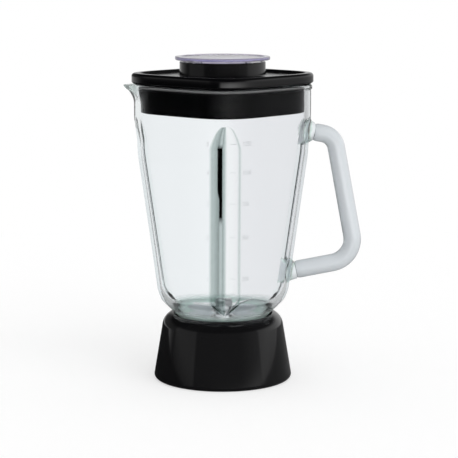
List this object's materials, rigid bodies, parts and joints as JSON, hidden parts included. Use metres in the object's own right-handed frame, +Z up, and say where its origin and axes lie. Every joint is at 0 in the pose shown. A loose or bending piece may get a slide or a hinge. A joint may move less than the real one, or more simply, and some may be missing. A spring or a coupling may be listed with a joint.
{
  "type": "countertop blender jug",
  "caption": "Fluted glass blender jug with side handle, pouring spout, lid, clear filler cap and a round screw collar holding the blade unit.",
  "frame": {"origin": "centre of the collar's foot, on the spindle axis, at the level the jug stands on", "axes": "+Z up along the spindle, +X towards the handle, -X towards the spout"},
  "size_m": [0.1969, 0.1494, 0.2684],
  "materials": {
    "clear_glass": "pressed clear soda-lime glass with a green cast at its edges",
    "frosted_glass": "milky glass, smooth",
    "collar_black": "gloss black moulding",
    "white_rubber": "matt silicone",
    "cast_aluminium": "satin die casting",
    "bronze": "sintered or turned",
    "black_rubber": "matt",
    "steel": "turned",
    "spring_steel": "dark spring steel",
    "blade_steel": "ground and polished",
    "lid_black": "satin black moulding",
    "seal_black": "smooth black rubber",
    "violet_clear": "clear polystyrene with a violet tint at its edge"
  },
  "bodies": {
    "collar": {"screw_collar": "collar_black"},
    "blade_unit": {"blade_carrier": "cast_aluminium", "jar_gasket": "white_rubber", "upper_bushing": "bronze", "lower_bushing": "bronze", "shaft_seal": "black_rubber"},
    "rotor": {"spindle": "steel", "upper_thrust_washer": "steel", "lower_thrust_washer": "steel", "retaining_clip": "spring_steel", "lower_blade": "blade_steel", "blade_spacer": "steel", "upper_blade": "blade_steel", "lock_washer": "steel", "blade_nut": "steel", "drive_coupler": "black_rubber", "coupler_insert": "bronze"},
    "jar": {"glass_jar": "clear_glass", "jar_handle": "frosted_glass"},
    "lid_body": {"lid": "lid_black", "lid_seal": "seal_black"},
    "cap_body": {"filler_cap": "violet_clear"}
  },
  "joints": [
    {"name": "jar_turn", "type": "hinge", "parent": "collar", "child": "blade_unit", "pos_m": [0, 0, 0.0315], "axis": [0, 0, 1], "range_deg": [0, 540]},
    {"name": "blade_spin", "type": "hinge", "parent": "blade_unit", "child": "rotor", "pos_m": [0, 0, 0.04], "axis": [0, 0, 1], "continuous": true},
    {"name": "jar_lift", "type": "slide", "parent": "blade_unit", "child": "jar", "axis": [0, 0, 1], "range_m": [0, 0.006]},
    {"name": "lid_lift", "type": "slide", "parent": "jar", "child": "lid_body", "axis": [0, 0, 1], "range_m": [0, 0.06]},
    {"name": "cap_lift", "type": "slide", "parent": "lid_body", "child": "cap_body", "axis": [0, 0, 1], "range_m": [0, 0.045]}
  ],
  "couplings": [
    {"joint": "jar_lift", "follows": "jar_turn", "m_per_rad": 0.000636}
  ]
}
